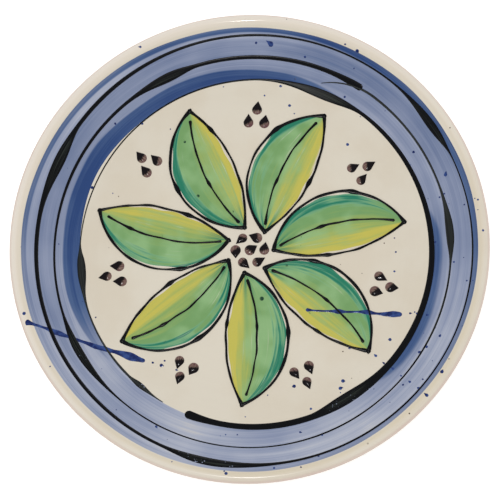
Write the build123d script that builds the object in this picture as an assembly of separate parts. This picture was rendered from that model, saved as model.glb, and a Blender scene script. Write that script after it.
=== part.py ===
"""A hand-thrown earthenware plate with a banded rim and a painted leaf rosette in its well.

Millimetres, +Z up. The origin is the centre of the foot ring, on the surface that the plate stands on.
The plate is one clay body under coats of glaze, and every painted colour is a thin layer of its own:
the layers lie side by side on the glaze, so that each one can be taken off without touching another.
"""

import os
from math import acos, cos, degrees, pi, radians, sin, tan

from build123d import *

# Clay body
PLATE_DIAMETER = 300.0  # over the glaze
PLATE_HEIGHT = 28.5  # foot to lip, over the glaze
WALL_ANGLE = 25.0  # slope of the wall above level, in degrees
WALL_THICKNESS = 6.5  # the lip is a full round of this thickness
BASE_THICKNESS = 6.5
INNER_CURVE = 30.0  # radius where the floor turns up into the wall
OUTER_CURVE = 24.0  # radius where the underside turns up into the wall
FOOT_INSET = 14.3  # level underside between the foot ring and the start of the wall's curve
FOOT_WIDTH = 8.0
FOOT_HEIGHT = 5.0
FOOT_ROUNDING = 1.5  # radius on the two edges that the plate stands between
FOOT_HOLLOW = 2.0  # radius where the foot ring meets the underside

# Coats
GLAZE_THICKNESS = 0.5
WASH_THICKNESS = 0.25
INK_THICKNESS = 0.45
TRAIL_HEIGHT = 0.6
BARE_FOOT = 2.5  # height of the foot ring that is wiped clean of glaze

# Rim bands, from the lip inwards, as widths seen from above; the widths meet in the middle of a line
PLAIN_LIP = 7.6
LIP_BAND = 5.6
UPPER_WASH = 12.2
LOWER_WASH = 8.1
DEEP_BAND = 5.5

# Black lines on the edges of the bands, drawn freehand and so a little off the plate's centre
UPPER_LINE = 2.0
UPPER_DRIFT = 2.9
UPPER_DRIFT_BEARING = 330.0
MIDDLE_LINE = 2.2
MIDDLE_DRIFT = 2.3
MIDDLE_DRIFT_BEARING = 300.0
WELL_LINE = 2.2
WELL_DRIFT = 3.4
WELL_DRIFT_BEARING = 330.0

# Brush swells on the lines: (bearing, half length) in degrees, then how far the stroke bulges
# outwards and inwards
UPPER_SWELLS = [(38.0, 11.0, 1.4, 3.2), (158.0, 12.0, 1.2, 3.4), (262.0, 14.0, 2.4, 1.2)]
MIDDLE_SWELLS = [(8.0, 11.0, 1.8, 1.8), (118.0, 10.0, 1.2, 2.2), (215.0, 14.0, 2.4, 1.6)]
WELL_SWELLS = [(72.0, 16.0, 0.8, 4.0), (188.0, 10.0, 1.2, 3.0), (305.0, 14.0, 0.6, 2.8)]

# Leaf rosette on the flat floor of the well
LEAF_COUNT = 7
LEAF_BASE_RADIUS = 15.0
ROSETTE_MARGIN = 5.0  # bare floor beyond the leaf tips
LEAF_SWEEP = 10.0  # degrees that a tip leads its base
LEAF_GAP = 10.0  # bare floor between two leaves, halfway from their bases to their tips
FLAT_BULGE = 11.0  # how far the leaf's flat side stands off the line from base to tip
TRAIL_WIDTH = 2.0

# Berry dabs, round at one end and drawn out to a point by the brush: three between each pair of
# leaves, and a whirl round one in the middle
BERRY_RADIUS = 3.4
BERRY_TAIL = 5.6  # from the middle of the round end to the point
BERRY_HEIGHT = 0.9
BERRY_PITCH = 10.0
BERRY_INSET = 13.0  # from the leaf tips' circle to the middle of a cluster
CENTRE_RING = 9.0
CENTRE_COUNT = 6

# Places worked out from the sizes above
rim_radius = PLATE_DIAMETER / 2 - GLAZE_THICKNESS
painted_radius = PLATE_DIAMETER / 2 - PLAIN_LIP
lip_radius = WALL_THICKNESS / 2
floor_level = FOOT_HEIGHT + BASE_THICKNESS
painting_level = floor_level + GLAZE_THICKNESS
slope = radians(WALL_ANGLE)
up_wall = Vector(cos(slope), sin(slope))
off_wall = Vector(-sin(slope), cos(slope))
lip_centre = Vector(rim_radius - lip_radius, PLATE_HEIGHT - GLAZE_THICKNESS - lip_radius)
lip_inside = lip_centre + off_wall * lip_radius
lip_outside = lip_centre - off_wall * lip_radius
floor_corner = lip_inside.X - (lip_inside.Y - floor_level) / tan(slope)
underside_corner = lip_outside.X - (lip_outside.Y - FOOT_HEIGHT) / tan(slope)
flat_floor_radius = floor_corner - INNER_CURVE * tan(slope / 2)
foot_outside = underside_corner - OUTER_CURVE * tan(slope / 2) - FOOT_INSET
foot_inside = foot_outside - FOOT_WIDTH
leaf_tip_radius = flat_floor_radius - ROSETTE_MARGIN
leaf_pitch = (LEAF_BASE_RADIUS + leaf_tip_radius) * sin(pi / LEAF_COUNT)
full_bulge = leaf_pitch - LEAF_GAP - FLAT_BULGE


def at_bearing(radius, bearing):
    """A point in plan, by its distance from the axis and its bearing in degrees."""
    return Vector(radius * cos(radians(bearing)), radius * sin(radians(bearing)))


def clay_section():
    """Half section of the clay body, with radius as x and height as y."""
    outline = Polyline(
        lip_inside,
        (floor_corner, floor_level),
        (0, floor_level),
        (0, FOOT_HEIGHT),
        (foot_inside, FOOT_HEIGHT),
        (foot_inside, 0),
        (foot_outside, 0),
        (foot_outside, FOOT_HEIGHT),
        (underside_corner, FOOT_HEIGHT),
        lip_outside,
    )
    lip = ThreePointArc(lip_outside, lip_centre + up_wall * lip_radius, lip_inside)
    section = make_face([*outline.edges(), lip])
    for corner, radius in [
        ((floor_corner, floor_level), INNER_CURVE),
        ((underside_corner, FOOT_HEIGHT), OUTER_CURVE),
        ((foot_inside, FOOT_HEIGHT), FOOT_HOLLOW),
        ((foot_outside, FOOT_HEIGHT), FOOT_HOLLOW),
        ((foot_inside, 0), FOOT_ROUNDING),
        ((foot_outside, 0), FOOT_ROUNDING),
    ]:
        section = fillet(section.vertices().sort_by_distance(corner)[0], radius)
    return section


def grown(section, amount):
    """The half section with a coat of that thickness all round it, cut off at the axis."""
    reach = 2 * PLATE_DIAMETER
    beside_axis = Pos(reach / 2, 0) * Rectangle(reach, reach)
    return offset(section, amount) & beside_axis


def turned(section):
    """A half section spun about the plate's axis."""
    return revolve(Plane.XZ * section, Axis.Z)


def glaze_coats(clay):
    """The glaze over face, lip and back, and the glaze inside the foot ring."""
    coat = grown(clay, GLAZE_THICKNESS) - clay
    wiped = Rectangle(2 * PLATE_DIAMETER, 2 * BARE_FOOT)
    inner, outer = (coat - wiped).faces().sort_by(lambda face: face.bounding_box().max.X)
    return turned(outer), turned(inner)


def painted_skin(clay, thickness):
    """A layer of paint all over the inside of the plate, from the axis to the plain lip."""
    skin = grown(clay, GLAZE_THICKNESS + thickness) - grown(clay, GLAZE_THICKNESS)
    strip = skin & (Pos(painted_radius / 2, PLATE_HEIGHT / 2) * Rectangle(painted_radius, 2 * PLATE_HEIGHT))
    return turned(strip.faces().sort_by(Axis.Y)[-1])


def swell(radius, bearing, half_length, outer_crest, inner_crest):
    """A spindle in plan where a brush was pressed: two arcs that meet on the middle of its stroke."""
    start = at_bearing(radius, bearing - half_length)
    end = at_bearing(radius, bearing + half_length)
    sides = [ThreePointArc(start, at_bearing(crest, bearing), end) for crest in (outer_crest, inner_crest)]
    return make_face([side.edge() for side in sides])


def black_line_plan(radius, width, swells):
    """A banding line in plan, with the places where the brush was pressed."""
    outer = radius + width / 2
    inner = radius - width / 2
    plan = Circle(outer) - Circle(inner)
    for bearing, half_length, outwards, inwards in swells:
        plan += swell(radius, bearing, half_length, outer + outwards, inner - inwards)
    return plan


def upright(plan):
    """A plan drawn up into a block taller than the plate, to cut the painted skin with."""
    return extrude(plan, 2 * PLATE_HEIGHT)


def rim_paint(clay):
    """The blue bands and black lines on the wall, by name."""
    upper = painted_radius - LIP_BAND
    middle = upper - UPPER_WASH
    deep_edge = middle - LOWER_WASH
    well = deep_edge - DEEP_BAND
    upper_place = Pos(*at_bearing(UPPER_DRIFT, UPPER_DRIFT_BEARING))
    middle_place = Pos(*at_bearing(MIDDLE_DRIFT, MIDDLE_DRIFT_BEARING))
    well_place = Pos(*at_bearing(WELL_DRIFT, WELL_DRIFT_BEARING))
    lines = {
        "upper_black_line": upper_place * black_line_plan(upper, UPPER_LINE, UPPER_SWELLS),
        "middle_black_line": middle_place * black_line_plan(middle, MIDDLE_LINE, MIDDLE_SWELLS),
        "well_black_line": well_place * black_line_plan(well, WELL_LINE, WELL_SWELLS),
    }
    bands = {
        "lip_blue_band": Circle(painted_radius) - upper_place * Circle(upper),
        "upper_pale_band": upper_place * Circle(upper) - middle_place * Circle(middle),
        "lower_pale_band": middle_place * Circle(middle) - Circle(deep_edge),
        "deep_blue_band": Circle(deep_edge) - well_place * Circle(well),
    }
    blocks = {name: upright(plan) for name, plan in lines.items()}
    ink = painted_skin(clay, INK_THICKNESS)
    wash = painted_skin(clay, WASH_THICKNESS)
    layers = {name: ink & block for name, block in blocks.items()}
    for name, plan in bands.items():
        layers[name] = (wash & upright(plan)) - list(blocks.values())
    return layers


def leaf_arcs(bearing):
    """The two sides and the midrib of a leaf, as arcs from base to tip."""
    base = at_bearing(LEAF_BASE_RADIUS, bearing)
    tip = at_bearing(leaf_tip_radius, bearing + LEAF_SWEEP)
    bulges = full_bulge, -FLAT_BULGE, (full_bulge - FLAT_BULGE) / 2
    return [SagittaArc(base, tip, bulge) for bulge in bulges]


def leaf(bearing):
    """A leaf's colour wash and the trailed outline that holds it, both lying on the floor."""
    full_side, flat_side, midrib = leaf_arcs(bearing)
    blade = make_face([full_side.edge(), flat_side.edge()])
    trails = [SlotArc(arc, TRAIL_WIDTH) for arc in (full_side, flat_side, midrib)]
    trail = trails[0] + trails[1:]
    on_floor = Pos(0, 0, painting_level)
    return extrude(on_floor * (blade - trail), WASH_THICKNESS), extrude(on_floor * trail, TRAIL_HEIGHT)


def berry():
    """A drop-shaped dab of thick colour that points along X, the middle of its round end at the origin."""
    tangent = degrees(acos(BERRY_RADIUS / BERRY_TAIL))
    side = at_bearing(BERRY_RADIUS, tangent)
    other_side = at_bearing(BERRY_RADIUS, -tangent)
    round_end = ThreePointArc(side, (-BERRY_RADIUS, 0), other_side)
    tail = Polyline(other_side, (BERRY_TAIL, 0), side)
    return extrude(make_face([round_end.edge(), *tail.edges()]), BERRY_HEIGHT)


def berry_places():
    """Where the dabs lie in plan, and the bearing that each one points at."""
    middle_step = 360 / CENTRE_COUNT
    places = [(Vector(0, 0), middle_step / 2)]
    for i in range(CENTRE_COUNT):
        places.append((at_bearing(CENTRE_RING, middle_step * i), middle_step * i + 90))
    corner = BERRY_PITCH / (2 * sin(pi / 3))
    for i in range(LEAF_COUNT):
        bearing = 360 * (i + 0.5) / LEAF_COUNT + LEAF_SWEEP
        middle = at_bearing(leaf_tip_radius - BERRY_INSET, bearing)
        for k in range(3):
            places.append((middle + at_bearing(corner, bearing + 120 * k), bearing))
    return places


def build():
    """Every piece of the plate, by name."""
    clay = clay_section()
    pieces = {"clay_body": turned(clay)}
    pieces["face_glaze"], pieces["base_glaze"] = glaze_coats(clay)
    pieces |= rim_paint(clay)
    for i in range(LEAF_COUNT):
        pieces[f"leaf_wash_{i + 1}"], pieces[f"leaf_trail_{i + 1}"] = leaf(360 * i / LEAF_COUNT)
    dab = berry()
    on_floor = Pos(0, 0, painting_level)
    dabs = [on_floor * Pos(place) * Rot(0, 0, bearing) * dab for place, bearing in berry_places()]
    pieces["berry_dabs"] = Compound(children=dabs)
    return pieces


if __name__ == "__main__":
    os.makedirs("parts", exist_ok=True)
    for name, piece in build().items():
        export_step(piece, f"parts/{name}.step")
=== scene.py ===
"""The looks of a hand-thrown earthenware plate: poured glaze, brushed bands, slip lines, a leaf rosette.

Metres, +Z up, the centre of the foot ring at the origin. All paint lies on one surface, the glazed face
that on_face gives, and every coat of it is a closed skin with its root sunk in the glaze. A bearing runs
anticlockwise from +X, in degrees in the named values and in radians in the meshes.
"""

from math import cos, pi, radians, sin, tan
from typing import NamedTuple

import bmesh
import bpy
import numpy as np
from mathutils import Matrix, Vector


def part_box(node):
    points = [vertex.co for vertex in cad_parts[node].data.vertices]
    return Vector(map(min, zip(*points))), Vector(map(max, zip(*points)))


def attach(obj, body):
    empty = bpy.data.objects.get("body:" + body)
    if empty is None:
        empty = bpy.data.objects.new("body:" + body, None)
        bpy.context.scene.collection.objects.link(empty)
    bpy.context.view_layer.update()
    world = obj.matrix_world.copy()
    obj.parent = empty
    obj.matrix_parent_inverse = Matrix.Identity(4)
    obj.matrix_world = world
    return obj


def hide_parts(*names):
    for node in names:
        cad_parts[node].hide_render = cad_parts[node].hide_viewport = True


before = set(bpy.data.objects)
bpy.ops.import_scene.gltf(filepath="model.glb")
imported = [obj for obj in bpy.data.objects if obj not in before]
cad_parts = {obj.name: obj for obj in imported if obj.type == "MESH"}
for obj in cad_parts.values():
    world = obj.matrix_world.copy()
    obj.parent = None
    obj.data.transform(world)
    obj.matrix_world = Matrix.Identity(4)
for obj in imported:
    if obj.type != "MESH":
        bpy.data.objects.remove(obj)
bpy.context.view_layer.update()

MM = 0.001
SEED = 7
random = np.random.default_rng(SEED)

# The plate's own sizes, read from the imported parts
plate_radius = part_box("face_glaze")[1].x
lip_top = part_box("face_glaze")[1].z
floor_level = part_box("leaf_wash_1")[0].z
glaze_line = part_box("base_glaze")[0].z
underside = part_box("base_glaze")[1].z
foot_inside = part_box("base_glaze")[1].x
glaze_depth = plate_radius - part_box("clay_body")[1].x
lip_band_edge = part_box("lip_blue_band")[1].x
deep_band_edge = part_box("deep_blue_band")[1].x

# The turned section, over the glaze
SLOPE = radians(25.0)
LIP_ROUND = 3.75 * MM
INNER_CURVE = 29.5 * MM
OUTER_CURVE = 24.5 * MM
FOOT_WIDTH = 8.0 * MM
FOOT_HOLLOW = 1.5 * MM
lip_centre = plate_radius - LIP_ROUND, lip_top - LIP_ROUND
wall_top = lip_centre[0] - LIP_ROUND * sin(SLOPE)
wall_top_height = lip_centre[1] + LIP_ROUND * cos(SLOPE)
floor_corner = wall_top - (wall_top_height - floor_level) / tan(SLOPE)
flat_radius = floor_corner - INNER_CURVE * tan(SLOPE / 2)
wall_foot = flat_radius + INNER_CURVE * sin(SLOPE)
foot_outside = foot_inside + FOOT_WIDTH
back_level = underside - glaze_depth

# What the potter's hands left in the clay
SPIRAL_DEPTH = 0.035 * MM
SPIRAL_PITCH = 6.5 * MM
SPIRAL_START = 20 * MM  # distance over which a spiral comes in
TRIM_DEPTH = 0.09 * MM
TRIM_PITCH = 3.6 * MM
LIP_WAVE = 0.22 * MM
LIP_WAVES = 2  # to a full turn
LIP_WAVE_TURN = 0.7  # radians by which they are turned
LIP_WAVE_POWER = 4  # how steeply they grow towards the lip

# Thickness of the coats over the glaze, how deep they are rooted in it, and the powers that round them:
# the higher a crown, the flatter the top and the shorter the edge
WASH_COAT = 0.06 * MM
FLICK_COAT = 0.12 * MM
LINE_COAT = 0.30 * MM
TRAIL_COAT = 0.60 * MM
BERRY_COAT = 0.90 * MM
EDGE_SINK = 0.05 * MM
COAT_ROOT = 0.15 * MM
GLAZE_ROOT = 0.40 * MM
LINE_CROWN = 3
BAND_CROWN = 6
LEAF_CROWN = 24
DAB_DOME = 0.6

# Rim bands, from the lip inwards, each up to the middle of the black line below it
LIP_BAND = 5.6 * MM
UPPER_WASH = 12.2 * MM
DEEP_BAND = 5.5 * MM
DEEP_LAP = 2.0 * MM  # how far the lower pale band runs in under the deep one
LIP_STROKE = 2.9 * MM
BAND_TUCK = 0.05  # share of a band's width that lies below the glaze along each edge
BAND_WANDER = 0.18 * MM
BAND_WAVES = 2, 3, 5, 9, 14  # to a full turn
upper_radius = lip_band_edge - LIP_BAND
middle_radius = upper_radius - UPPER_WASH
well_radius = deep_band_edge - DEEP_BAND

# How the hand strayed: bearing and spread in degrees, and how far out in millimetres
LINE_STRAYS = [(92.0, 38.0, 1.6), (180.0, 35.0, -0.8)]
LIP_STRAYS = [(90.0, 45.0, -1.1), (270.0, 120.0, 0.5)]
DEEP_STRAYS = [(152.0, 16.0, 1.8)]


class Line(NamedTuple):
    """A black line drawn freehand: right round the plate, or as a run that starts and ends."""

    radius: float
    width: float
    drift: tuple  # how far off the plate's centre, and at which bearing
    fullest: tuple  # bearing where the brush was fullest, and the share gained there and lost opposite
    swells: list  # where it was pressed: bearing, half length, and bulges out and in, in millimetres
    run: tuple = ()  # bearing where it starts, and how many degrees it goes on for
    tail: float = 0.0  # how far in it swerves as the brush lifts off


UPPER_LINE = Line(
    radius=upper_radius,
    width=2.0 * MM,
    drift=(2.9 * MM, 330.0),
    fullest=(190.0, 0.45),
    swells=[(38.0, 11.0, 1.4, 3.2), (158.0, 12.0, 1.2, 3.4), (262.0, 14.0, 2.4, 1.2)],
)
MIDDLE_LINE = Line(
    radius=middle_radius,
    width=1.8 * MM,
    drift=(2.3 * MM, 300.0),
    fullest=(80.0, 0.42),
    swells=[(8.0, 11.0, 1.8, 1.8), (118.0, 10.0, 1.2, 2.2), (215.0, 14.0, 2.4, 1.6)],
    run=(56.0, 372.0),
    tail=8.0 * MM,
)
WELL_LINE = Line(
    radius=well_radius,
    width=2.5 * MM,
    drift=(3.4 * MM, 330.0),
    fullest=(310.0, 0.9),
    swells=[
        (72.0, 16.0, 0.8, 4.0),
        (188.0, 10.0, 1.2, 3.0),
        (232.0, 6.0, 1.0, 1.8),
        (305.0, 14.0, 0.6, 2.8),
    ],
    run=(247.0, 352.0),
)

# How every black line is drawn: widths, gains and losses are shares of its own width
USUAL_WIDTH = 0.95
LEAST_WIDTH = 0.42
WIDTH_WANDER = 0.12
WIDTH_WAVES = 2, 3, 5, 8
LINE_WANDER = 0.30 * MM
LINE_WAVES = 1, 2, 3, 5
OUTWARDS = 0  # the two bulges of a swell
INWARDS = 1
SWELL_REACH = 1.25  # a swell fades out a little past its half length, and its peak leans to one side
SWELL_LEAN = 0.25
FULL_PRESS = 3.0 * MM  # widening at which the brush counts as pressed down
SET_DOWN = 0.7, 7.0  # share by which a run is wider where it starts, and the degrees that takes
LIFT_OFF = 16.0  # degrees over which the brush lifts off
RUN_DRY = 130.0, 60.0  # degrees from the end where the slip begins to thin, and where it is thinnest
LIFT_LOSS = 0.75
DRY_LOSS = 0.35
DRY_MARK = 2.0  # how thinned slip is marked for its finish, where pressed slip is 1 and the rest 0
DRY_PRESSED = 1.3  # what a press takes off that mark

# The rosette
LEAF_COUNT = 7
LEAF_BASE = 15.0 * MM
LEAF_MARGIN = 5.0 * MM
LEAF_SWEEP = radians(10.0)
LEAF_GAP = 10.0 * MM
FLAT_BULGE = 11.0 * MM
LEAF_BARE = 0.01  # share of a leaf's width that its wash leaves free along each edge
LEAF_UNEVEN = 0.02  # about how much more it leaves halfway along
LEAF_WAVES = 2, 3, 5
leaf_tip = flat_radius - LEAF_MARGIN
full_bulge = (LEAF_BASE + leaf_tip) * sin(pi / LEAF_COUNT) - LEAF_GAP - FLAT_BULGE

# Trailed lines of a leaf: the bulge of each, where along it the trail starts and stops, and its fullness.
# Blobs and drips add a share to the width, over a share of the length
LEAF_TRAILS = [
    (full_bulge, 0.0, 1.0, 1.0),
    (-FLAT_BULGE, 0.004, 0.996, 0.9),
    ((full_bulge - FLAT_BULGE) / 2, 0.05, 0.93, 0.72),
]
TRAIL_WIDTH = 2.0 * MM
TRAIL_BODY = 0.85
TRAIL_WANDER = 0.3 * MM
TRAIL_WAVES = 2, 3, 5
TRAIL_FLOW = 0.2
FLOW_WAVES = 1, 2, 4, 7
START_BLOB = 0.6, 0.05
STOP_BLOB = 0.6, 0.04
DRIP_BLOB = 0.7, 0.03
DRIP_PLACES = 0.3, 0.8
TIP_BLOB = 1.6 * MM  # at both ends of a leaf, where its outlines meet
TIP_TAIL = 2.08 * MM

# Drops of dark slip: sizes and tails vary by a share, and the way they point by some radians
BERRY_RADIUS = 3.4 * MM
BERRY_SIZES = 0.85, 1.0
BERRY_TAIL = 5.6 * MM
BERRY_TAILS = 0.95, 1.1
BERRY_TURN = 0.25
BERRY_GROUP = 3
BERRY_PITCH = 10.0 * MM
BERRY_INSET = 13.0 * MM
CENTRE_RING = 9.0 * MM
CENTRE_COUNT = 6

# Cobalt thrown off the brush, from and to a place, given as radius in millimetres and bearing, and its
# width in millimetres. A blot and pools add a share to the width, over a share of the length
COBALT_THROWS = [
    ((147.0, 199.0), (96.0, 227.0), 5.2),
    ((52.0, 312.0), (104.0, 336.0), 4.0),
]
THROW_BODY = 0.42
THROW_UNEVEN = 0.06
UNEVEN_WAVES = 3, 5, 9
THROW_WANDER = 0.3 * MM
THROW_WAVES = 1, 2, 3
THROW_BLOT = 0.5, 0.04
POOL_PLACES = 0.3, 0.62, 0.92
POOL_SHIFT = 0.05
POOL_LENGTHS = 0.05, 0.15
POOL_WIDTHS = 0.3, 0.7

# Drops of cobalt: sizes in millimetres, and tails as multiples of them
FLOWN_ON = 1.07, 1.14, 1.26  # places past the end of a throw, by its length
FLOWN_ASIDE = 1.0
FLOWN_SIZES = 0.6, 1.3
FLOWN_TAILS = 1.5, 2.5
CHAIN_RADII = 104.0, 149.0, 7.0  # from, to and apart, along one bearing
CHAIN_BEARING = 319.0
CHAIN_WANDER = 0.4
CHAIN_SIZES = 0.7, 1.4
CHAIN_TAILS = 1.4, 2.8
LONE_DROPS = [  # radius, bearing and size
    (131.0, 20.0, 1.8),
    (132.0, 84.0, 2.6),
    (127.0, 243.0, 1.1),
    (146.0, 118.0, 0.8),
    (121.0, 285.0, 1.2),
]
LONE_TAIL = 2.2
LONE_HEADING = 60.0  # degrees by which they point aside of straight out
SPECKS = 90
SPECK_BELT = 0.34, 0.95  # shares of the face, from the axis out, between which the specks fell
SPECK_BEARING = 345.0, 85.0  # where most of them fell, and their spread
SPECK_SIZE = 0.40, 0.9  # the least, and how much larger the rare large ones are
SPECK_RARITY = 1.5
SPECK_TAILS = 1.05, 1.6

# Mesh fineness: points round the plate, across and along a stroke, over a drop and along the section
ROUND = 384
ACROSS = 11
ALONG = 120
DAB_MESH = 36, 7  # round a drop, and out from its middle
FLICK_MESH = 20, 5
FLOOR_STEPS = 88
INNER_CURVE_STEPS = 10
WALL_STEPS = 24
LIP_STEPS = 26
BACK_WALL_STEPS = 16
OUTER_CURVE_STEPS = 14
BACK_FLAT_STEPS = 10
HOLLOW_STEPS = 8
BASE_STEPS = 90
HIDDEN_STEP = 4  # of the points inside the clay, only every fourth is kept
SLOPE_STEP = 0.01 * MM
END_CROWDING = 0.9  # how much closer the points of a run lie at its ends
WELD = 1e-6
bearings = np.linspace(0, 2 * pi, ROUND, endpoint=False)

# The brush coordinates that every painted point carries for its finish
BRUSH = "brush"
BRUSH_EDGE = 0.01  # kept free at both ends of a leaf, so that each leaf's numbers stay its own

# Camera and studio
AIM = Vector((0.0007, -0.0029, 0.025))
AZIMUTH = radians(12.0)
ELEVATION = radians(76.9)
DISTANCE = 2.0
LENS = 230.9
LAMP_PLACE = Vector((-0.09, -0.34, 2.0))
LAMP_SIZE = 0.05, 0.10
LAMP_WATTS = 3.4
TABLE = 3.0
TABLE_GLOW = 0.45
ROOM_LIGHT = (0.94, 0.94, 0.94, 1.0)
ROOM_SEEN = (1.0, 1.0, 1.0, 1.0)
CEILING = (0.12, 0.12, 0.13, 1.0)
CEILING_EDGE = 0.1, 0.5  # how steeply up one looks where the wall ends and where the ceiling begins

# Where the glaze and the paint came out thicker, thinner or otherwise, by bearing, and the bearing towards
# which the lip is painted paler, as painted light falling from that side
LIT_LIP_AT = 125.0
COOL_LIP_AT = 115.0
FULL_WASH_AT = 95.0
FULL_BANDS_AT = 50.0
THIN_BANDS_AT = 312.0
WIDE_LIP_STROKE_AT = 75.0
FULL_LIP_STROKE_AT = 50.0
SPENT_LIP_STROKE_AT = 235.0
PALE_BY_LIP_AT = 150.0
DEEP_LEFT_AT = 135.0
DEEP_RIGHT_AT = 342.0
FULL_DEEP_AT = 190.0
PINHOLES_AT = 265.0


def srgb(red, green, blue):
    """A colour as it is matched on a screen, out of 255, in linear light."""
    shares = [channel / 255 for channel in (red, green, blue)]
    return (*[s / 12.92 if s < 0.04045 else ((s + 0.055) / 1.055) ** 2.4 for s in shares], 1.0)


CREAM = srgb(220, 212, 196)
WARM_CREAM = srgb(216, 206, 188)
# painted light: the paler lip colour, laid on the side of the lip that the light falls on
LIT_LIP = srgb(229, 220, 208)
WARM_LIP = srgb(216, 204, 181)
LIP_BLUSH = srgb(204, 184, 172)
IRON = srgb(70, 52, 40)
PALE_BLUE = srgb(178, 183, 198)
LILAC_GREY = srgb(145, 154, 179)
MID_BLUE = srgb(114, 127, 158)
STRONG_BLUE = srgb(77, 100, 141)
DEEP_BLUE = srgb(46, 71, 121)
COBALT = srgb(26, 40, 92)
PALE_COBALT = srgb(54, 78, 136)
SLIP_BLACK = srgb(9, 11, 14)
OLIVE_BLACK = srgb(46, 52, 46)
SPENT_SLIP = srgb(52, 56, 54)
TEAL = srgb(40, 124, 98)
MINT = srgb(130, 184, 148)
GREEN = srgb(118, 160, 102)
PALE_GREEN = srgb(160, 198, 144)
LIME = srgb(150, 173, 98)
YELLOW = srgb(195, 187, 88)
DARK_GREEN = srgb(34, 66, 50)
PLUM = srgb(96, 58, 66)
DRAWN_PLUM = srgb(134, 116, 100)
PLUM_BLACK = srgb(20, 15, 17)
BISCUIT = srgb(204, 176, 148)
PALE_BISCUIT = srgb(220, 198, 172)
STUDIO_WHITE = srgb(246, 246, 246)
DARK = srgb(0, 0, 0)
LIGHT = srgb(255, 255, 255)

# The blues by how densely they lie, and the greens from a leaf's flat side to its full side
BLUE_STOPS = [
    (0.0, CREAM),
    (0.18, PALE_BLUE),
    (0.36, LILAC_GREY),
    (0.56, MID_BLUE),
    (0.78, STRONG_BLUE),
    (0.98, DEEP_BLUE),
]
LEAF_STOPS = [
    (0.12, YELLOW),
    (0.36, LIME),
    (0.60, GREEN),
    (0.76, GREEN),
    (0.90, MINT),
    (1.0, MINT),
]

# What is the same all over a finish
GLOSS = {"IOR": 1.5, "Specular IOR Level": 0.5}
SLIP_GLOSS = {"IOR": 1.5, "Specular IOR Level": 0.4}
CLAY_MATT = {"Specular IOR Level": 0.2}
TABLE_MATT = {"Roughness": 0.9, "Specular IOR Level": 0.1, "Emission Strength": TABLE_GLOW}


class Tone:
    """A value, colour or vector on its way through a material; working with it adds nodes."""

    def __init__(self, tree, socket=None):
        self.tree = tree
        self.socket = socket

    def node(self, kind, settings=None, sockets=None, output=0):
        """Adds a node: first its settings, then what its sockets hold or are linked to."""
        made = self.tree.nodes.new(kind)
        for name, value in (settings or {}).items():
            if name == "stops":
                set_stops(made.color_ramp, value)
            else:
                setattr(made, name, value)
        for key, value in (sockets or {}).items():
            if isinstance(value, Tone):
                self.tree.links.new(value.socket, made.inputs[key])
            else:
                made.inputs[key].default_value = value
        return Tone(self.tree, made.outputs[output])

    def pick(self, output):
        """Another output of the node that this tone comes from."""
        return Tone(self.tree, self.socket.node.outputs[output])

    def math(self, operation, *terms):
        return self.node("ShaderNodeMath", {"operation": operation}, dict(enumerate(terms)))

    def __add__(self, other):
        return self.math("ADD", self, other)

    def __sub__(self, other):
        return self.math("SUBTRACT", self, other)

    def __rsub__(self, other):
        return self.math("SUBTRACT", other, self)

    def __mul__(self, other):
        return self.math("MULTIPLY", self, other)

    def __truediv__(self, other):
        return self.math("DIVIDE", self, other)

    def __rtruediv__(self, other):
        return self.math("DIVIDE", other, self)

    def __pow__(self, other):
        return self.math("POWER", self, other)

    __radd__ = __add__
    __rmul__ = __mul__

    def larger(self, other):
        return self.math("MAXIMUM", self, other)

    def rise(self, low, high):
        """0 up to low and 1 from high on, with a soft step between; it falls where low is the larger."""
        ends = {"Value": self, "From Min": low, "From Max": high}
        return self.node("ShaderNodeMapRange", {"interpolation_type": "SMOOTHSTEP"}, ends)

    def mix(self, low, high):
        """A colour that goes from low to high as this value goes from 0 to 1."""
        return self.node("ShaderNodeMix", {"data_type": "RGBA"}, {0: self, 6: low, 7: high}, 2)

    def ramp(self, stops):
        return self.node("ShaderNodeValToRGB", {"stops": stops}, {0: self})

    def noise(self, scale, detail=3.0, roughness=0.5):
        sockets = {"Vector": self, "Scale": scale, "Detail": detail, "Roughness": roughness}
        return self.node("ShaderNodeTexNoise", None, sockets)

    def dots(self, scale, size):
        """1 on scattered round dots, whose size is a share of their spacing."""
        away = self.node("ShaderNodeTexVoronoi", None, {"Vector": self, "Scale": scale})
        own = away.pick("Color")
        own_size = own.node("ShaderNodeSeparateColor", None, {0: own})
        return (away / (own_size * size)).rise(1.1, 0.8)

    def split(self):
        """The three components of a vector."""
        parts = self.node("ShaderNodeSeparateXYZ", None, {0: self})
        return parts, parts.pick(1), parts.pick(2)

    def joined(self, *components):
        """A vector of three components, values or numbers."""
        return self.node("ShaderNodeCombineXYZ", None, dict(enumerate(components)))

    def bump(self, distance, strength=1.0):
        sockets = {"Height": self, "Distance": distance, "Strength": strength}
        return self.node("ShaderNodeBump", None, sockets)


def set_stops(ramp, stops):
    """Gives a colour ramp its stops, as (position, colour)."""
    while len(ramp.elements) < len(stops):
        ramp.elements.new(1.0)
    for element, (position, colour) in zip(ramp.elements, stops):
        element.position = position
        element.color = colour


def fired(name, paint, fixed):
    """A fired finish: paint gives the sockets that vary, from where a point lies; the rest are fixed."""
    material = bpy.data.materials.new(name)
    material.use_nodes = True
    tree = material.node_tree
    shader = tree.nodes["Principled BSDF"]
    where = Tone(tree).node("ShaderNodeTexCoord", output="Object")
    for socket, value in fixed.items():
        shader.inputs[socket].default_value = value
    for socket, tone in paint(where).items():
        tree.links.new(tone.socket, shader.inputs[socket])
    return material


def brush_marks(where):
    """The two brush coordinates of a painted point."""
    return where.node("ShaderNodeUVMap", {"uv_map": BRUSH}).split()[:2]


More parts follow.
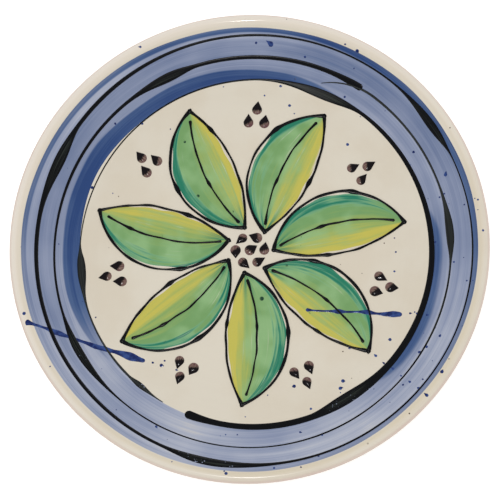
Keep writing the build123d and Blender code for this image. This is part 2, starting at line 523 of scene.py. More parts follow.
class Round:
    """Where a point lies on the wheel: its distance from the axis and its bearing as a unit vector."""

    def __init__(self, where):
        x, y, _ = where.split()
        self.radius = (x * x + y * y) ** 0.5
        self.turn_x = x / self.radius
        self.turn_y = y / self.radius

    def streaks(self, length, width, detail=3.0):
        """Noise drawn out round the plate by the turning wheel: feature length and width in metres."""
        turns = plate_radius / length
        place = self.radius.joined(self.turn_x * turns, self.turn_y * turns, self.radius / width)
        return place.noise(1.0, detail)

    def towards(self, bearing):
        """1 at a bearing in degrees, -1 on the far side."""
        return self.turn_x * cos(radians(bearing)) + self.turn_y * sin(radians(bearing))


def cream(where, wheel):
    """Cream glaze colour: clouded, one side of the lip painted paler as painted light, blushing at its
    edge, specks of iron.
    """
    clouds = where.noise(24.0, 4.0).rise(0.38, 0.66)
    colour = clouds.mix(CREAM, WARM_CREAM)
    lip = wheel.radius.rise(lip_band_edge, lip_band_edge + 2 * MM)
    # painted light: the lip is painted paler towards the side that the light falls from
    pale = wheel.towards(LIT_LIP_AT).rise(-1.2, 1.0)
    colour = (lip * pale).mix(colour, LIT_LIP)
    inner_lip = lip * wheel.radius.rise(lip_band_edge + 5 * MM, lip_band_edge + 2 * MM)
    warm = 0.52 - 0.25 * wheel.towards(COOL_LIP_AT)
    colour = (inner_lip * warm).mix(colour, WARM_LIP)
    edge = wheel.radius.rise(plate_radius - 2.2 * MM, plate_radius - 0.2 * MM)
    blush = 0.4 + wheel.streaks(60 * MM, 3 * MM)
    colour = (edge * blush).mix(colour, LIP_BLUSH)
    specks = where.dots(150.0, 0.10) * where.noise(40.0, 1.0).rise(0.54, 0.6)
    return specks.mix(colour, IRON)


def cream_glaze(where):
    """Cream glaze, glassy on the face and drier where it ran thin over the lip."""
    wheel = Round(where)
    peel = where.noise(420.0, 2.0)
    thinned = wheel.radius.rise(plate_radius - 4.2 * MM, plate_radius - 1.5 * MM)
    return {
        "Base Color": cream(where, wheel),
        "Roughness": 0.05 + 0.05 * where.noise(60.0, 2.0) + 0.3 * thinned,
        "Normal": peel.bump(0.05 * MM, 0.15),
    }


def lip_stroke(wheel, wander):
    """How much denser the blue is in a stroke along the lip, less a pale belt beside it."""
    edge = lip_band_edge - LIP_STROKE
    widened = wheel.towards(WIDE_LIP_STROKE_AT).rise(0.3, 1.0) * (1.1 * MM)
    radius = wheel.radius + wander * (2 * MM) + widened
    stroke = radius.rise(edge - 0.4 * MM, edge + 0.4 * MM)
    beside = radius.rise(edge - 5 * MM, edge - 2 * MM) * (1 - stroke)
    loaded = 0.20 * wheel.towards(SPENT_LIP_STROKE_AT).rise(0.95, 0.35)
    strength = 0.06 + 0.10 * wheel.towards(FULL_LIP_STROKE_AT) + loaded
    pale = 0.08 + 0.08 * wheel.towards(PALE_BY_LIP_AT)
    return stroke * strength - beside * pale


def deep_stroke(wheel, wander):
    """How much denser the blue is in a stroke round the well, laid at the left and softly at the right."""
    left = wheel.towards(DEEP_LEFT_AT).rise(-0.1, 0.6)
    right = wheel.towards(DEEP_RIGHT_AT).rise(0.78, 0.96)
    laid = left.larger(right)
    radius = wheel.radius + wander * (6 * MM)
    edge = well_radius - 1 * MM + laid * (DEEP_BAND + 2 * MM) + right * (3 * MM)
    softness = 0.6 * MM + right * (1.2 * MM)
    stroke = ((edge - radius) / softness).rise(-1.0, 1.0)
    strength = 0.46 + 0.04 * wheel.towards(FULL_DEEP_AT)
    return stroke * laid * strength


def blue_wash(where):
    """Thin blue brushed on the turning plate: a stroke by the lip, pale bands, a stroke by the well."""
    wheel = Round(where)
    wander = wheel.streaks(110 * MM, 24 * MM, 1.0) - 0.5
    fine = wheel.streaks(90 * MM, 0.5 * MM) - 0.5
    broad = wheel.streaks(200 * MM, 3.6 * MM, 2.0) - 0.5
    watery = where.noise(16.0, 3.0) - 0.5
    density = 0.40 + 0.08 * wheel.towards(FULL_WASH_AT) + 0.26 * fine + 0.36 * broad + 0.56 * watery
    upper_bands = wheel.radius.rise(middle_radius - 2 * MM, middle_radius + 2 * MM)
    full = 0.10 * wheel.towards(FULL_BANDS_AT).rise(0.7, 1.0)
    thin = 0.12 * wheel.towards(THIN_BANDS_AT).rise(0.7, 0.97)
    strokes = lip_stroke(wheel, wander) + deep_stroke(wheel, wander)
    density = density + (full - thin) * upper_bands + strokes
    thinned = wheel.radius.rise(lip_band_edge - 2.4 * MM, lip_band_edge - 0.9 * MM)
    return {
        "Base Color": density.ramp(BLUE_STOPS),
        "Roughness": 0.09 + 0.08 * broad + 0.3 * thinned,
        "Normal": fine.bump(0.03 * MM, 0.3),
    }


def black_slip(where):
    """Black slip, streaked and pinholed where the brush was pressed, and grey where it ran dry."""
    wheel = Round(where)
    across, pressed = brush_marks(where)
    drag = wheel.streaks(45 * MM, 0.45 * MM)
    middle = across.rise(0.08, 0.45) * across.rise(0.92, 0.55)
    thin = pressed.rise(0.4, 1.0) * middle * drag.rise(0.42, 0.7)
    colour = thin.mix(SLIP_BLACK, OLIVE_BLACK)
    dry = pressed.rise(1.0, 2.4) * (0.6 + 0.4 * middle) * drag.rise(0.2, 0.45)
    colour = dry.mix(colour, SPENT_SLIP)
    holed = pressed.rise(0.2, 0.8) * wheel.towards(PINHOLES_AT).rise(0.3, 0.9)
    pinholes = where.dots(700.0, 0.3) * where.noise(90.0, 1.0).rise(0.52, 0.6) * holed
    return {
        "Base Color": pinholes.mix(colour, LILAC_GREY),
        "Roughness": 0.16 + 0.14 * drag,
        "Normal": drag.bump(0.05 * MM, 0.4),
    }


def leaf_wash(where):
    """Greens laid wet side by side: yellow on a leaf's flat side, mint and teal on its full side."""
    along, across = brush_marks(where)
    leaf = along.math("FLOOR", along)
    along = along - leaf
    hair = across.joined(along * 2.2, across * 26.0, leaf * 7.0).noise(1.0, 3.0)
    pull = across.joined(along * 1.4, across * 7.0, leaf * 5.0).noise(1.0, 2.0)
    pool = where.noise(55.0, 2.0)
    shade = across + (hair - 0.5) * 0.34 + (pull - 0.5) * 0.7 + (pool - 0.5) * 0.25
    diluted = pool.rise(0.42, 0.7) * shade.rise(0.1, 0.5) * 0.5
    colour = diluted.mix(shade.ramp(LEAF_STOPS), PALE_GREEN)
    wet = shade.rise(0.78, 0.93) + along.rise(0.28, 0.02) * pull.rise(0.4, 0.6)
    wet_edge = wet.math("MINIMUM", wet, 1.0) * hair.rise(0.22, 0.5)
    colour = wet_edge.mix(colour, TEAL)
    bare = hair.rise(0.6, 0.74) * pool.rise(0.45, 0.65) * 0.5
    colour = bare.mix(colour, CREAM)
    specks = where.dots(130.0, 0.2) * where.noise(70.0, 1.0).rise(0.58, 0.64)
    return {
        "Base Color": specks.mix(colour, DARK_GREEN),
        "Roughness": 0.09 + 0.10 * pull,
        "Normal": hair.bump(0.04 * MM, 0.35),
    }


def berry_slip(where):
    """A dab of thick dark slip: its round end thinned to a translucent plum, its tail near black."""
    drag_x, drag_y = brush_marks(where)
    own = where.noise(30.0, 0.0)
    hair = drag_x.joined(drag_x * 1.1, drag_y * 8.0, own * 9.0).noise(1.0, 3.0)
    side = own.rise(0.4, 0.6) * 1.4 - 0.7
    thin = (drag_y * side - drag_x + (hair - 0.5) * 1.2).rise(-0.05, 0.5)
    plum = hair.rise(0.38, 0.68).mix(PLUM, DRAWN_PLUM)
    return {
        "Base Color": thin.mix(PLUM_BLACK, plum),
        "Roughness": 0.07 + 0.10 * hair,
        "Normal": hair.bump(0.06 * MM, 0.4),
    }


def cobalt_slip(where):
    """Cobalt thrown off a loaded brush, paler where it ran thin."""
    pool = where.noise(260.0, 2.0)
    return {
        "Base Color": pool.rise(0.36, 0.68).mix(COBALT, PALE_COBALT),
        "Roughness": 0.09 + 0.10 * pool,
        "Normal": pool.bump(0.04 * MM, 0.3),
    }


def biscuit_clay(where):
    """Bare fired clay: fine grain, ringed by the trimming tool."""
    wheel = Round(where)
    grain = where.noise(900.0, 4.0, 0.65)
    rings = wheel.streaks(90 * MM, 0.7 * MM)
    return {
        "Base Color": (grain * 0.6 + rings * 0.4).rise(0.35, 0.65).mix(BISCUIT, PALE_BISCUIT),
        "Roughness": 0.72 + 0.2 * grain,
        "Normal": (grain + rings).bump(0.12 * MM, 0.6),
    }


glaze_finish = fired("cream_glaze", cream_glaze, GLOSS)
band_finish = fired("blue_wash", blue_wash, GLOSS)
slip_finish = fired("black_slip", black_slip, SLIP_GLOSS)
leaf_finish = fired("leaf_wash", leaf_wash, GLOSS)
berry_finish = fired("berry_slip", berry_slip, GLOSS)
cobalt_finish = fired("cobalt_slip", cobalt_slip, GLOSS)
clay_finish = fired("biscuit_clay", biscuit_clay, CLAY_MATT)


def face_height(radius):
    """Height of the glazed face at a distance from the axis: floor, curve, wall and lip."""
    past_floor = np.clip(radius - flat_radius, 0, wall_foot - flat_radius)
    curve = INNER_CURVE - np.sqrt(INNER_CURVE**2 - past_floor**2)
    wall = np.clip(radius - wall_foot, 0, wall_top - wall_foot) * tan(SLOPE)
    past_wall = np.clip(radius, wall_top, plate_radius) - lip_centre[0]
    lip = np.sqrt(np.maximum(LIP_ROUND**2 - past_wall**2, 0)) - LIP_ROUND * cos(SLOPE)
    return floor_level + curve + wall + lip


def wheel_marks(radius, bearing):
    """Height that throwing left on the face: a shallow spiral of fingers, and slow waves at the lip."""
    spiral = SPIRAL_DEPTH * np.sin(2 * pi * radius / SPIRAL_PITCH - bearing)
    growth = (radius / plate_radius) ** LIP_WAVE_POWER
    wave = LIP_WAVE * growth * np.sin(LIP_WAVES * bearing + LIP_WAVE_TURN)
    return spiral * np.minimum(radius / SPIRAL_START, 1) + wave


def trim_marks(radius, bearing):
    """Height that the trimming tool left on the base: a spiral groove."""
    spiral = TRIM_DEPTH * np.sin(2 * pi * radius / TRIM_PITCH + bearing)
    from_axis = np.clip(radius / SPIRAL_START, 0, 1)
    from_foot = np.clip((foot_inside - radius) / SPIRAL_START, 0, 1)
    return spiral * from_axis * from_foot


def on_face(x, y, lift):
    """Points over a place in plan, lifted square off the glazed face."""
    radius = np.hypot(x, y)
    bearing = np.arctan2(y, x)
    rise = face_height(radius + SLOPE_STEP) - face_height(radius - SLOPE_STEP)
    lean = np.arctan(rise / (2 * SLOPE_STEP))
    height = face_height(radius) + wheel_marks(radius, bearing)
    out = radius - lift * np.sin(lean)
    return np.stack([out * np.cos(bearing), out * np.sin(bearing), height + lift * np.cos(lean)], -1)


def there_and_back(grid, root):
    """A section that goes over the top of a coat and back along its root."""
    return np.concatenate([grid, root[:, ::-1]], axis=1)


def eased(count):
    """Shares from 0 to 1 that lie close together at both ends."""
    return (1 - np.cos(np.linspace(0, pi, count))) / 2


def hump(along, place, spread):
    """1 at a place, falling away smoothly to both sides of it."""
    return np.exp(-(((along - place) / spread) ** 2))


def unsteady(around, size, waves):
    """A smooth wander, as of a brush held by hand, that closes on itself after a full turn."""
    wander = np.zeros_like(around)
    for wave in waves:
        wander += np.sin(wave * around + random.uniform(0, 2 * pi)) * random.uniform(0.5, 1.0)
    return size * wander / np.sqrt(len(waves))


def to_the_right(path):
    """Unit vectors square to a path in a plane, to its right."""
    run = np.gradient(path, axis=0)
    return np.stack([run[:, 1], -run[:, 0]], -1) / np.linalg.norm(run, axis=1)[:, None]


class Coat:
    """Closed skins that make up one piece, with brush coordinates at every point."""

    def __init__(self):
        self.points = []
        self.faces = []
        self.brush = []

    def lay(self, grid, brush, closed_along, closed_across):
        """Adds a skin: rows run along the stroke, and columns round its section from the left edge."""
        rows, columns = grid.shape[:2]
        index = len(self.points) + np.arange(rows * columns).reshape(rows, columns)
        row, column = np.meshgrid(
            np.arange(rows if closed_along else rows - 1),
            np.arange(columns if closed_across else columns - 1),
            indexing="ij",
        )
        next_row = (row + 1) % rows
        next_column = (column + 1) % columns
        corners = [
            index[row, column],
            index[row, next_column],
            index[next_row, next_column],
            index[next_row, column],
        ]
        self.faces.extend(np.stack(corners, -1).reshape(-1, 4).tolist())
        self.points.extend(grid.reshape(-1, 3).tolist())
        self.brush.extend(np.broadcast_to(brush, (rows, columns, 2)).reshape(-1, 2).tolist())

    def cover(self, x, y, lift, marks, closed_along=False, closed_across=True):
        """Adds a coat over places in plan, with its root in the glaze and two marks for its finish."""
        root = on_face(x, y, np.full_like(x, -COAT_ROOT))
        skin = there_and_back(on_face(x, y, lift), root)
        brush = np.stack([np.broadcast_to(mark, x.shape) for mark in marks], -1)
        self.lay(skin, there_and_back(brush, brush), closed_along, closed_across)

    def ring(self, centre, inner, outer, coat, crown, pressed):
        """Adds a band right round a centre, with a flat top and rounded edges."""
        share = eased(ACROSS)
        radius = inner[:, None] + (outer - inner)[:, None] * share
        lift = (coat + EDGE_SINK) * (1 - np.abs(2 * share - 1) ** crown) - EDGE_SINK
        x = centre[0] + radius * np.cos(bearings)[:, None]
        y = centre[1] + radius * np.sin(bearings)[:, None]
        self.cover(x, y, lift, (share, pressed[:, None]), closed_along=True)

    def stroke(self, path, half_width, coat, pressed):
        """Adds a domed stroke along a path in plan, with round ends."""
        step = np.linalg.norm(np.diff(path, axis=0), axis=1)
        gone = np.concatenate([[0], np.cumsum(step)])
        to_end = np.minimum(gone, gone[-1] - gone)
        fullness = np.sqrt(1 - (1 - np.clip(to_end / half_width, 0, 1)) ** 2)
        share = -np.cos(np.linspace(0, pi, ACROSS))
        reach = (half_width * fullness)[:, None] * share
        lift = ((coat + EDGE_SINK) * np.sqrt(fullness))[:, None] * np.sqrt(1 - share**2) - EDGE_SINK
        plan = path[:, None] + to_the_right(path)[:, None] * reach[..., None]
        self.cover(plan[..., 0], plan[..., 1], lift, ((share + 1) / 2, pressed[:, None]))

    def dab(self, place, radius, tail, coat, turn, mesh):
        """Adds a domed drop, round at one end and drawn out to a point a tail's length from its middle."""
        spokes, rings = mesh
        around = np.linspace(0, 2 * pi, spokes, endpoint=False)[:, None]
        share = np.sin(np.linspace(0, pi / 2, rings))
        past_side = np.arccos(radius / tail) - np.abs((around + pi) % (2 * pi) - pi)
        reach = radius / np.cos(np.maximum(past_side, 0)) * share
        lift = coat * (1 - share**2) ** DAB_DOME - EDGE_SINK * share
        x = place[0] + reach * np.cos(around + turn)
        y = place[1] + reach * np.sin(around + turn)
        marks = share * np.cos(around), share * np.sin(around)
        self.cover(x, y, lift, marks, closed_along=True, closed_across=False)

    def turned(self, section, depth, marks):
        """Adds a coat turned on the wheel: from the axis to its edge, and back inside the clay.

        The clay lies to the right of the section, or to its left where the depth is negative.
        """
        loop = np.concatenate([section, (section + to_the_right(section) * depth)[::-HIDDEN_STEP]])
        loop[[0, -1], 0] = 0
        if depth < 0:
            loop = loop[::-1]
        radius = np.broadcast_to(loop[:, 0], (ROUND, len(loop)))
        height = loop[:, 1] + marks(radius, bearings[:, None])
        x = radius * np.cos(bearings)[:, None]
        y = radius * np.sin(bearings)[:, None]
        self.lay(np.stack([x, y, height], -1), np.zeros(2), closed_along=True, closed_across=False)

    def piece(self, name, material, slot, *nodes):
        """Makes the piece, which rides on the plate in place of the nodes that it stands for."""
        mesh = bpy.data.meshes.new(name)
        mesh.from_pydata(self.points, [], self.faces)
        corners = np.empty(len(mesh.loops), dtype=np.int32)
        mesh.loops.foreach_get("vertex_index", corners)
        strokes = mesh.uv_layers.new(name=BRUSH)
        strokes.data.foreach_set("uv", np.array(self.brush, dtype=np.float32)[corners].ravel())
        welded = bmesh.new()
        welded.from_mesh(mesh)
        bmesh.ops.remove_doubles(welded, verts=welded.verts, dist=WELD)
        welded.to_mesh(mesh)
        welded.free()
        mesh.shade_smooth()
        mesh.materials.append(material)
        made = bpy.data.objects.new(name, mesh)
        bpy.context.scene.collection.objects.link(made)
        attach(made, "root")
        if nodes:
            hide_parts(*nodes)


def arc(centre, radius, start, stop, steps):
    """Points of an arc in the turned section, from one angle in degrees to another."""
    angles = np.radians(np.linspace(start, stop, steps))
    return np.stack([centre[0] + radius * np.cos(angles), centre[1] + radius * np.sin(angles)], -1)


def glaze_edge(foot):
    """The side of the foot ring below its hollow, down to where the glaze was wiped off."""
    halfway = (back_level - FOOT_HOLLOW + glaze_line) / 2
    return np.array([[foot, halfway], [foot, glaze_line]])


def pour_face_glaze():
    """Glaze over the face, the lip and the back, down to a line on the foot."""
    tilt = np.degrees(SLOPE)
    inside = np.concatenate(
        [
            np.linspace(0, flat_radius, FLOOR_STEPS, endpoint=False),
            np.linspace(flat_radius, wall_foot, INNER_CURVE_STEPS, endpoint=False),
            np.linspace(wall_foot, wall_top, WALL_STEPS, endpoint=False),
        ]
    )
    face = np.stack([inside, face_height(inside)], -1)
    lip = arc(lip_centre, LIP_ROUND, 90 + tilt, tilt - 90, LIP_STEPS)
    back_corner = lip[-1, 0] - (lip[-1, 1] - back_level) / tan(SLOPE)
    back_curve = back_corner - OUTER_CURVE * tan(SLOPE / 2), back_level + OUTER_CURVE
    back = arc(back_curve, OUTER_CURVE, tilt - 90, -90, OUTER_CURVE_STEPS)
    foot = foot_outside + glaze_depth
    hollow = arc((foot + FOOT_HOLLOW, back_level - FOOT_HOLLOW), FOOT_HOLLOW, 90, 180, HOLLOW_STEPS)
    wall = np.linspace(lip[-1], back[0], BACK_WALL_STEPS)[1:-1]
    flat = np.linspace(back[-1], hollow[0], BACK_FLAT_STEPS)[1:-1]
    section = np.concatenate([face, lip, wall, back, flat, hollow, glaze_edge(foot)])
    coat = Coat()
    coat.turned(section, GLAZE_ROOT, wheel_marks)
    coat.piece("poured_face_glaze", glaze_finish, "cream_glaze", "face_glaze")


def pour_base_glaze():
    """Glaze inside the foot ring, over the marks of the trimming tool."""
    foot = foot_inside - glaze_depth
    hollow = arc((foot - FOOT_HOLLOW, back_level - FOOT_HOLLOW), FOOT_HOLLOW, 90, 0, HOLLOW_STEPS)
    flat = np.linspace((0, back_level), (foot - FOOT_HOLLOW, back_level), BASE_STEPS)[:-1]
    coat = Coat()
    coat.turned(np.concatenate([flat, hollow, glaze_edge(foot)]), -GLAZE_ROOT, trim_marks)
    coat.piece("poured_base_glaze", glaze_finish, "cream_glaze", "base_glaze")


def seen_from_axis(line):
    """Distance from the axis, all round, of a black line that was drawn off centre."""
    off, bearing = line.drift
    away = bearings - radians(bearing)
    circle = off * np.cos(away) + np.sqrt(line.radius**2 - (off * np.sin(away)) ** 2)
    return circle + strayed(bearings, LINE_STRAYS)


def strayed(around, strays):
    """How far out a hand-drawn circle lies of a true one."""
    out = np.zeros_like(around)
    for bearing, spread, reach in strays:
        away = (np.degrees(around) - bearing + 180) % 360 - 180
        out += reach * MM * hump(away, 0, spread)
    return out


def brush_band(name, node, slot, inner, outer):
    """A blue band that thins out softly into the glaze, tucked under the black lines beside it."""
    tuck = BAND_TUCK * (outer - inner)
    inner_edge = inner - tuck + unsteady(bearings, BAND_WANDER, BAND_WAVES)
    outer_edge = outer + tuck + unsteady(bearings, BAND_WANDER, BAND_WAVES)
    coat = Coat()
    coat.ring((0, 0), inner_edge, outer_edge, WASH_COAT, BAND_CROWN, np.zeros(ROUND))
    coat.piece(name, band_finish, slot, node)


def bulged(around, swells, side):
    """How much further a black line reaches to one side where the brush was pressed."""
    reach = np.zeros_like(around)
    for bearing, half_length, *bulges in swells:
        away = ((around - radians(bearing) + pi) % (2 * pi) - pi) / radians(SWELL_REACH * half_length)
        leaning = np.clip(away + SWELL_LEAN * (1 - away**2), -1, 1)
        reach += bulges[side] * MM * np.where(np.abs(away) < 1, np.cos(pi / 2 * leaning) ** 2, 0)
    return reach


def brush_run(start, turn):
    """Bearings along a stroke that starts and ends, close together at its ends."""
    share = np.linspace(0, 1, ROUND)
    return np.radians(start + turn * (share - END_CROWDING * np.sin(2 * pi * share) / (2 * pi)))


def brush_line(name, node, line):
    """A black line, now fine and now full, with the places where the brush was pressed."""
    around = brush_run(*line.run) if line.run else bearings
    middle = line.radius + strayed(around, LINE_STRAYS) + unsteady(around, LINE_WANDER, LINE_WAVES)
    fullest, gain = line.fullest
    share = USUAL_WIDTH + gain * np.cos(around - radians(fullest))
    share = share + unsteady(around, WIDTH_WANDER, WIDTH_WAVES)
    half = line.width / 2 * np.maximum(share, LEAST_WIDTH)
    outer = middle + half + bulged(around, line.swells, OUTWARDS)
    inner = middle - half - bulged(around, line.swells, INWARDS)
    pressed = np.clip((outer - inner - 2 * half) / FULL_PRESS, 0, 1)
    off, bearing = line.drift
    centre = off * np.array([cos(radians(bearing)), sin(radians(bearing))])
    coat = Coat()
    if line.run:
        to_end = np.degrees(around[-1] - around)
        lifting = np.clip(1 - to_end / LIFT_OFF, 0, 1)
        dry = np.clip((RUN_DRY[0] - to_end) / (RUN_DRY[0] - RUN_DRY[1]), 0, 1)
        set_down = 1 + SET_DOWN[0] * hump(around, around[0], radians(SET_DOWN[1]))
        thinned = (1 - LIFT_LOSS * lifting) * (1 - DRY_LOSS * dry * (1 - pressed))
        radius = (inner + outer) / 2 - line.tail * lifting**2
        path = centre + radius[:, None] * np.stack([np.cos(around), np.sin(around)], -1)
        mark = pressed + dry * (DRY_MARK - DRY_PRESSED * pressed)
        coat.stroke(path, (outer - inner) / 2 * set_down * thinned, LINE_COAT, mark)
    else:
        coat.ring(centre, inner, outer, LINE_COAT, LINE_CROWN, pressed)
    coat.piece(name, slip_finish, "black_slip", node)


def leaf_side(number, bulge, along):
    """Points in plan on an arc from a leaf's base to its tip, by the share of the way along it."""
    bearing = 2 * pi * number / LEAF_COUNT
    base = LEAF_BASE * np.array([cos(bearing), sin(bearing)])
    tip = leaf_tip * np.array([cos(bearing + LEAF_SWEEP), sin(bearing + LEAF_SWEEP)])
    length = np.linalg.norm(tip - base)
    forward = (tip - base) / length
    left = np.array([-forward[1], forward[0]])
    radius = (length**2 / 4 + bulge**2) / (2 * bulge)
    angle = (2 * along - 1) * np.arcsin(length / 2 / radius)
    gone = length / 2 + radius * np.sin(angle)
    aside = radius * np.cos(angle) - radius + bulge
    return base + gone[..., None] * forward + aside[..., None] * left


def wash_leaf(number):
    """A leaf's greens, wet and uneven at their edge."""
    along = eased(ALONG)
    turn = 2 * pi * along
    wet = LEAF_UNEVEN * np.sin(pi * along)
    left = LEAF_BARE + wet * (1 + unsteady(turn, 1.0, LEAF_WAVES))
    right = 1 - LEAF_BARE - wet * (1 + unsteady(turn, 1.0, LEAF_WAVES))
    share = -np.cos(np.linspace(0, pi, 2 * ACROSS))
    across = right[:, None] + (left - right)[:, None] * (share + 1) / 2
    flat = leaf_side(number, -FLAT_BULGE, along)
    full = leaf_side(number, full_bulge, along)
    plan = flat[:, None] + (full - flat)[:, None] * across[..., None]
    lift = (WASH_COAT + EDGE_SINK) * (1 - share**LEAF_CROWN) - EDGE_SINK
    mark = number + BRUSH_EDGE + (1 - 2 * BRUSH_EDGE) * along[:, None]
    coat = Coat()
    coat.cover(plan[..., 0], plan[..., 1], lift, (mark, across))
    coat.piece(f"painted_leaf_{number + 1}", leaf_finish, "leaf_green_wash", f"leaf_wash_{number + 1}")


def trail_leaf(number):
    """A leaf's trailed outline and midrib, blobbed where the trailer stopped and where it dripped."""
    along = eased(ALONG)
    turn = 2 * pi * along
    coat = Coat()
    for bulge, start, stop, fullness in LEAF_TRAILS:
        aside = [unsteady(turn, TRAIL_WANDER, TRAIL_WAVES) for _ in range(2)]
        path = leaf_side(number, bulge, start + (stop - start) * along)
        path = path + np.stack(aside, -1) * np.sin(pi * along)[:, None]
        blobs = [(0.0, *START_BLOB), (1.0, *STOP_BLOB), (random.uniform(*DRIP_PLACES), *DRIP_BLOB)]
        share = TRAIL_BODY + unsteady(turn, TRAIL_FLOW, FLOW_WAVES)
        for place, gain, spread in blobs:
            share = share + gain * hump(along, place, spread)
        half = TRAIL_WIDTH / 2 * fullness * share
        coat.stroke(path, half, TRAIL_COAT * np.sqrt(fullness), np.zeros(ALONG))
    for place in leaf_side(number, full_bulge, np.array([0.0, 1.0])):
        coat.dab(place, TIP_BLOB, TIP_TAIL, TRAIL_COAT, random.uniform(0, 2 * pi), DAB_MESH)
    coat.piece(f"trailed_leaf_{number + 1}", slip_finish, "black_slip", f"leaf_trail_{number + 1}")


def ring_of(count, radius, start):
    """Places in plan evenly round a circle, with their bearings."""
    turns = start + 2 * pi * np.arange(count) / count
    return [(radius * np.array([cos(turn), sin(turn)]), turn) for turn in turns]


def paint_berries():
    """Drops of thick dark slip: three between each pair of leaves, and a whirl round one in the middle."""
    places = [(np.zeros(2), pi / CENTRE_COUNT)]
    for place, bearing in ring_of(CENTRE_COUNT, CENTRE_RING, 0.0):
        places.append((place, bearing + pi / 2))
    corner = BERRY_PITCH / (2 * sin(pi / BERRY_GROUP))
    for middle, bearing in ring_of(LEAF_COUNT, leaf_tip - BERRY_INSET, pi / LEAF_COUNT + LEAF_SWEEP):
        for place, _ in ring_of(BERRY_GROUP, corner, bearing):
            places.append((middle + place, bearing))
    coat = Coat()
    for place, turn in places:
        radius = BERRY_RADIUS * random.uniform(*BERRY_SIZES)
        tail = BERRY_TAIL * random.uniform(*BERRY_TAILS)
        turn = turn + random.uniform(-BERRY_TURN, BERRY_TURN)
        coat.dab(place, radius, tail, BERRY_COAT, turn, DAB_MESH)
    coat.piece("painted_berries", berry_finish, "aubergine_slip", "berry_dabs")


def in_plan(radius, bearing):
    """A place in plan, from its distance to the axis in millimetres and its bearing in degrees."""
    return radius * MM * np.array([cos(radians(bearing)), sin(radians(bearing))])


def drop(coat, place, size, tail, heading):
    """A drop of cobalt, its size in millimetres, drawn out along a heading in degrees."""
    coat.dab(place, size * MM, tail * size * MM, FLICK_COAT, radians(heading), FLICK_MESH)


def throw(coat, first, last, width):
    """A throw of cobalt that starts with a blot, pools along its way and ends in drops that flew on."""
    along = eased(ALONG)
    turn = 2 * pi * along
    start = in_plan(*first)
    flight = in_plan(*last) - start
    share = THROW_BODY + unsteady(turn, THROW_UNEVEN, UNEVEN_WAVES)
    blot, blot_length = THROW_BLOT
    share = share + blot * hump(along, 0, blot_length)
    for pool in POOL_PLACES:
        place = pool + random.uniform(-POOL_SHIFT, POOL_SHIFT)
        spread = random.uniform(*POOL_LENGTHS)
        share = share + random.uniform(*POOL_WIDTHS) * hump(along, place, spread)
    path = start + flight * along[:, None]
    path[:, 1] += unsteady(turn, THROW_WANDER, THROW_WAVES)
    coat.stroke(path, width / 2 * MM * share, FLICK_COAT, np.zeros(ALONG))
    heading = np.degrees(np.arctan2(flight[1], flight[0]))
    for past in FLOWN_ON:
        place = start + flight * past + random.uniform(-FLOWN_ASIDE, FLOWN_ASIDE, 2) * MM
        drop(coat, place, random.uniform(*FLOWN_SIZES), random.uniform(*FLOWN_TAILS), heading)


def throw_cobalt():
    """Cobalt flicked off a loaded brush: blotted throws, a chain of drops, and a scatter of more."""
    coat = Coat()
    for first, last, width in COBALT_THROWS:
        throw(coat, first, last, width)
    for radius in np.arange(*CHAIN_RADII):
        bearing = CHAIN_BEARING + random.uniform(-CHAIN_WANDER, CHAIN_WANDER)
        size = random.uniform(*CHAIN_SIZES)
        drop(coat, in_plan(radius, bearing), size, random.uniform(*CHAIN_TAILS), bearing + 180)
    for radius, bearing, size in LONE_DROPS:
        drop(coat, in_plan(radius, bearing), size, LONE_TAIL, bearing + LONE_HEADING)
    least, larger = SPECK_SIZE
    for _ in range(SPECKS):
        radius = plate_radius / MM * np.sqrt(random.uniform(*SPECK_BELT))
        size = least + larger * random.uniform() ** SPECK_RARITY
        place = in_plan(radius, random.normal(*SPECK_BEARING))
        drop(coat, place, size, random.uniform(*SPECK_TAILS), random.uniform(0, 360))
    coat.piece("cobalt_flicks", cobalt_finish, "deep_blue_wash")


def paint_plate():
    """Every painted piece, in the order that a decorator lays them."""
    lip = lip_band_edge + strayed(bearings, LIP_STRAYS)
    upper = seen_from_axis(UPPER_LINE)
    middle = seen_from_axis(MIDDLE_LINE)
    well = seen_from_axis(WELL_LINE) + strayed(bearings, DEEP_STRAYS)
    under_deep = deep_band_edge - DEEP_LAP
    brush_band("brushed_lip_band", "lip_blue_band", "pale_blue_wash", upper, lip)
    brush_band("brushed_upper_band", "upper_pale_band", "pale_blue_wash", middle, upper)
    brush_band("brushed_lower_band", "lower_pale_band", "pale_blue_wash", under_deep, middle)
    brush_band("brushed_deep_band", "deep_blue_band", "deep_blue_wash", well, deep_band_edge)
    brush_line("slip_upper_line", "upper_black_line", UPPER_LINE)
    brush_line("slip_middle_line", "middle_black_line", MIDDLE_LINE)
    brush_line("slip_well_line", "well_black_line", WELL_LINE)
    for number in range(LEAF_COUNT):
        wash_leaf(number)
        trail_leaf(number)
    paint_berries()
    throw_cobalt()


def bare_clay():
    """The fired clay shows where the foot is wiped clean."""
    clay = bpy.data.objects["clay_body"]
    for place in clay.material_slots:
        place.material = clay_finish


def place_camera():
    """A long lens almost straight above, tipped a little towards the viewer."""
    back = Vector((sin(AZIMUTH) * cos(ELEVATION), -cos(AZIMUTH) * cos(ELEVATION), sin(ELEVATION)))
    right = (-back).cross(Vector((0, 1, 0))).normalized()
    up = right.cross(-back)
    camera = bpy.data.objects.new("camera", bpy.data.cameras.new("camera"))
    camera.data.lens = LENS
    turned = Matrix((right, up, back)).transposed().to_4x4()
    camera.matrix_world = Matrix.Translation(AIM + back * DISTANCE) @ turned
    bpy.context.scene.collection.objects.link(camera)
    bpy.context.scene.camera = camera


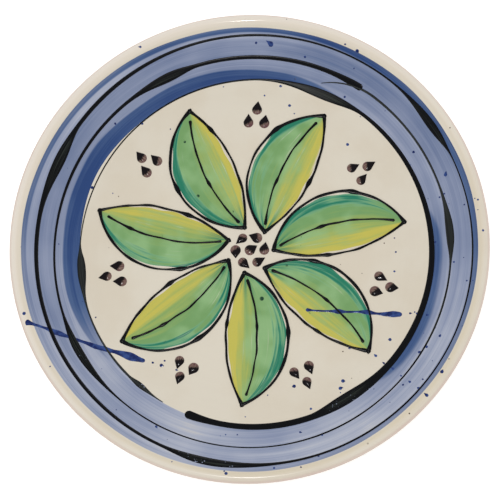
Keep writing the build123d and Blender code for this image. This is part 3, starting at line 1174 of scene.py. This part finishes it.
def hang_lamp():
    """One soft lamp high over the table, pointing at the plate."""
    lamp = bpy.data.objects.new("window", bpy.data.lights.new("window", "AREA"))
    lamp.data.shape = "RECTANGLE"
    lamp.data.size = LAMP_SIZE[0]
    lamp.data.size_y = LAMP_SIZE[1]
    lamp.data.energy = LAMP_WATTS
    lamp.location = LAMP_PLACE
    lamp.rotation_euler = (AIM - LAMP_PLACE).to_track_quat("-Z", "Y").to_euler()
    bpy.context.scene.collection.objects.link(lamp)


def seen_or_mirrored(tone):
    """1 for what the camera sees, straight, in a gloss or through glass."""
    path = tone.node("ShaderNodeLightPath")
    return path.larger(path.pick("Is Glossy Ray")).larger(path.pick("Is Transmission Ray"))


def light_room():
    """A pale room all round, with a dim ceiling where it is seen or mirrored."""
    world = bpy.data.worlds.new("room")
    world.use_nodes = True
    bpy.context.scene.world = world
    direction = Tone(world.node_tree).node("ShaderNodeTexCoord")
    up = direction.split()[2]
    seen = up.rise(*CEILING_EDGE).mix(ROOM_SEEN, CEILING)
    light = seen_or_mirrored(direction).mix(ROOM_LIGHT, seen)
    world.node_tree.links.new(light.socket, world.node_tree.nodes["Background"].inputs["Color"])


def table_top(where):
    """White paper, lit up a little where it is seen or mirrored."""
    paper = where.noise(300.0, 2.0)
    return {
        "Base Color": (0.2 * paper).mix(STUDIO_WHITE, CREAM),
        "Emission Color": seen_or_mirrored(where).mix(DARK, LIGHT),
    }


def set_table():
    """The table that the plate stands on."""
    mesh = bpy.data.meshes.new("table")
    corners = [(-TABLE, -TABLE, 0), (TABLE, -TABLE, 0), (TABLE, TABLE, 0), (-TABLE, TABLE, 0)]
    mesh.from_pydata(corners, [], [(0, 1, 2, 3)])
    table = bpy.data.objects.new("table", mesh)
    mesh.materials.append(fired("table", table_top, TABLE_MATT))
    bpy.context.scene.collection.objects.link(table)


pour_face_glaze()
pour_base_glaze()
paint_plate()
bare_clay()
place_camera()
light_room()
set_table()
hang_lamp()
bpy.context.scene.view_settings.view_transform = "Standard"
